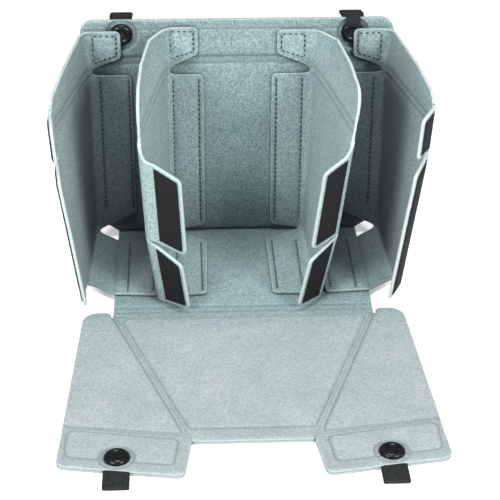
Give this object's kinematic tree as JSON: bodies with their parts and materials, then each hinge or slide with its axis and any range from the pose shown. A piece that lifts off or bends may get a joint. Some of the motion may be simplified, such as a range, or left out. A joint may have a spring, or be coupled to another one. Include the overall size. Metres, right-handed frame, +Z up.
{
  "type": "folding felt organiser insert",
  "caption": "Folding felt organiser insert: back panel, floor, three bays between bent felt walls with hook-strip flanges, and a creased front flap with press studs and webbing loops.",
  "frame": {"origin": "under the middle of the whole outline, on the plane the flat floor and flap lie on", "axes": "+X to the right as the open front is faced, +Y from the flap towards the back panel, +Z up"},
  "size_m": [0.2396, 0.316, 0.1635],
  "materials": {
    "wall_felt": "needle felt, moulded",
    "panel_felt": "needle felt, moulded",
    "flap_felt": "needle felt, moulded",
    "lining_felt": "needle felt",
    "board": "matt",
    "hook_strip": "hook pile",
    "webbing": "woven",
    "thread": "twisted thread",
    "stud_cap": "gloss",
    "stud_metal": "black enamel"
  },
  "bodies": {
    "shell": {"back_board": "board", "back_lining": "lining_felt", "back_skin": "panel_felt", "back_stud_caps": "stud_cap", "back_stud_sockets": "stud_metal", "back_webbing_ends": "webbing", "band_board": "board", "floor_board": "board", "floor_lining": "lining_felt", "floor_skin": "panel_felt", "stitching_back_tabs": "thread", "stitching_band_tabs": "thread", "stitching_floor_tabs": "thread", "wing_inner_left": "wall_felt", "wing_inner_right": "wall_felt", "wing_outer_left": "wall_felt", "wing_outer_right": "wall_felt"},
    "flap_centre": {"flap_centre_board": "board", "flap_centre_lining": "lining_felt", "flap_centre_skin": "flap_felt"},
    "flap_side_left": {"flap_side_left_board": "board", "flap_side_left_lining": "lining_felt", "flap_side_left_skin": "flap_felt"},
    "flap_leg_left": {"flap_leg_left_board": "board", "flap_leg_left_lining": "lining_felt", "flap_leg_left_skin": "flap_felt", "leg_stud_cap_left": "stud_cap", "leg_stud_socket_left": "stud_metal", "leg_webbing_end_left": "webbing"},
    "leg_loop_left": {"leg_webbing_loop_left": "webbing"},
    "back_loop_left": {"back_webbing_loop_left": "webbing"},
    "flap_side_right": {"flap_side_right_board": "board", "flap_side_right_lining": "lining_felt", "flap_side_right_skin": "flap_felt"},
    "flap_leg_right": {"flap_leg_right_board": "board", "flap_leg_right_lining": "lining_felt", "flap_leg_right_skin": "flap_felt", "leg_stud_cap_right": "stud_cap", "leg_stud_socket_right": "stud_metal", "leg_webbing_end_right": "webbing"},
    "leg_loop_right": {"leg_webbing_loop_right": "webbing"},
    "back_loop_right": {"back_webbing_loop_right": "webbing"},
    "flange_outer_left_upper": {"flange_outer_left_upper": "wall_felt", "hook_outer_left_upper": "hook_strip"},
    "flange_outer_left_lower": {"flange_outer_left_lower": "wall_felt", "hook_outer_left_lower": "hook_strip"},
    "flange_outer_right_upper": {"flange_outer_right_upper": "wall_felt", "hook_outer_right_upper": "hook_strip"},
    "flange_outer_right_lower": {"flange_outer_right_lower": "wall_felt", "hook_outer_right_lower": "hook_strip"},
    "flange_inner_left_upper": {"flange_inner_left_upper": "wall_felt", "hook_inner_left_upper": "hook_strip"},
    "flange_inner_left_lower": {"flange_inner_left_lower": "wall_felt", "hook_inner_left_lower": "hook_strip"},
    "flange_inner_right_upper": {"flange_inner_right_upper": "wall_felt", "hook_inner_right_upper": "hook_strip"},
    "flange_inner_right_lower": {"flange_inner_right_lower": "wall_felt", "hook_inner_right_lower": "hook_strip"}
  },
  "joints": [
    {"name": "flap_fold", "type": "hinge", "parent": "shell", "child": "flap_centre", "pos_m": [0, 0.0223, 0.0045], "axis": [-1, 0, 0], "range_deg": [0, 90]},
    {"name": "side_fold_left", "type": "hinge", "parent": "flap_centre", "child": "flap_side_left", "pos_m": [-0.0822, 0.0223, 0.0045], "axis": [0.3315, -0.9434, 0], "range_deg": [-70, 0]},
    {"name": "leg_fold_left", "type": "hinge", "parent": "flap_side_left", "child": "flap_leg_left", "pos_m": [-0.1093, -0.0968, 0.0045], "axis": [0.987, -0.1606, 0], "range_deg": [-60, 0]},
    {"name": "leg_loop_swing_left", "type": "hinge", "parent": "flap_leg_left", "child": "leg_loop_left", "pos_m": [-0.077, -0.1415, 0.0028], "axis": [-1, 0, 0], "range_deg": [0, 90]},
    {"name": "back_loop_swing_left", "type": "hinge", "parent": "shell", "child": "back_loop_left", "pos_m": [-0.077, 0.1419, 0.1625], "axis": [1, 0, 0], "range_deg": [-45, 100]},
    {"name": "side_fold_right", "type": "hinge", "parent": "flap_centre", "child": "flap_side_right", "pos_m": [0.0822, 0.0223, 0.0045], "axis": [0.3315, 0.9434, 0], "range_deg": [-70, 0]},
    {"name": "leg_fold_right", "type": "hinge", "parent": "flap_side_right", "child": "flap_leg_right", "pos_m": [0.1093, -0.0968, 0.0045], "axis": [0.987, 0.1606, 0], "range_deg": [-60, 0]},
    {"name": "leg_loop_swing_right", "type": "hinge", "parent": "flap_leg_right", "child": "leg_loop_right", "pos_m": [0.077, -0.1415, 0.0028], "axis": [-1, 0, 0], "range_deg": [0, 90]},
    {"name": "back_loop_swing_right", "type": "hinge", "parent": "shell", "child": "back_loop_right", "pos_m": [0.077, 0.1419, 0.1625], "axis": [1, 0, 0], "range_deg": [-45, 100]},
    {"name": "flange_fold_outer_left_upper", "type": "hinge", "parent": "shell", "child": "flange_outer_left_upper", "pos_m": [-0.11666, 0.04478, 0.109], "axis": [-0.0542, -0.0744, 0.9958], "range_deg": [-15, 90]},
    {"name": "flange_fold_outer_left_lower", "type": "hinge", "parent": "shell", "child": "flange_outer_left_lower", "pos_m": [-0.10364, 0.04679, 0.01], "axis": [-0.1312, -0.0198, 0.9912], "range_deg": [-14, 90]},
    {"name": "flange_fold_outer_right_upper", "type": "hinge", "parent": "shell", "child": "flange_outer_right_upper", "pos_m": [0.11666, 0.04478, 0.109], "axis": [-0.0542, 0.0744, -0.9958], "range_deg": [-37, 70]},
    {"name": "flange_fold_outer_right_lower", "type": "hinge", "parent": "shell", "child": "flange_outer_right_lower", "pos_m": [0.10364, 0.04679, 0.01], "axis": [-0.1312, 0.0198, -0.9912], "range_deg": [-35, 70]},
    {"name": "flange_fold_inner_left_upper", "type": "hinge", "parent": "shell", "child": "flange_inner_left_upper", "pos_m": [-0.06124, 0.03681, 0.0549], "axis": [-0.0525, 0.0002, 0.9986], "range_deg": [-76, 30]},
    {"name": "flange_fold_inner_left_lower", "type": "hinge", "parent": "shell", "child": "flange_inner_left_lower", "pos_m": [-0.0547, 0.03777, 0.0079], "axis": [-0.1386, -0.0202, 0.9901], "range_deg": [-48, 40]},
    {"name": "flange_fold_inner_right_upper", "type": "hinge", "parent": "shell", "child": "flange_inner_right_upper", "pos_m": [0.0604, 0.03681, 0.0549], "axis": [-0.1261, -0.0002, -0.992], "range_deg": [-64, 42]},
    {"name": "flange_fold_inner_right_lower", "type": "hinge", "parent": "shell", "child": "flange_inner_right_lower", "pos_m": [0.05067, 0.03777, 0.0079], "axis": [-0.2032, 0.0202, -0.9789], "range_deg": [-40, 45]}
  ]
}
